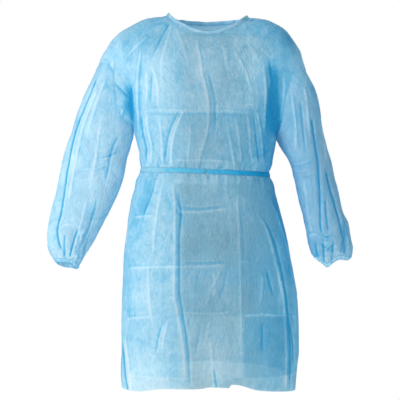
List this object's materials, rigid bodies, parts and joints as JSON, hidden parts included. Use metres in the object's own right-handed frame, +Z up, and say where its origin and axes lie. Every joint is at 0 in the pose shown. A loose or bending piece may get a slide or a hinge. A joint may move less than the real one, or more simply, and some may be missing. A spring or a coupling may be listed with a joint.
{
  "type": "disposable gown",
  "caption": "Long-sleeved disposable gown in its worn, hollow form, with bound neck, tied waist tapes, elastic cuffs and an open back.",
  "frame": {"origin": "middle of the neck and shoulders, where the wearer holds the gown up, at the height of the right neck point of the shoulder line", "axes": "+Z up along the gown's length, -Y the way the front faces, +X towards the wearer's left"},
  "size_m": [0.9271, 0.299, 1.1515],
  "materials": {
    "cloth_body": "thin spunbond nonwoven, slightly see-through, soft sheen",
    "cloth_sleeve": "thin spunbond nonwoven, slightly see-through, soft sheen",
    "elastic_cuff": "nonwoven casing gathered over elastic",
    "binding": "folded nonwoven band, stitched",
    "tape": "folded nonwoven tape"
  },
  "bodies": {
    "root": {"front": "cloth_body", "back_left": "cloth_body", "back_right": "cloth_body", "sleeve_left": "cloth_sleeve", "sleeve_right": "cloth_sleeve", "cuff_left": "elastic_cuff", "cuff_right": "elastic_cuff", "neck_binding": "binding", "neck_knot": "tape", "neck_tie_left": "tape", "neck_tie_right": "tape", "belt_left": "tape", "belt_right": "tape", "belt_knot": "tape", "belt_tail_left": "tape", "belt_tail_right": "tape"}
  },
  "joints": []
}
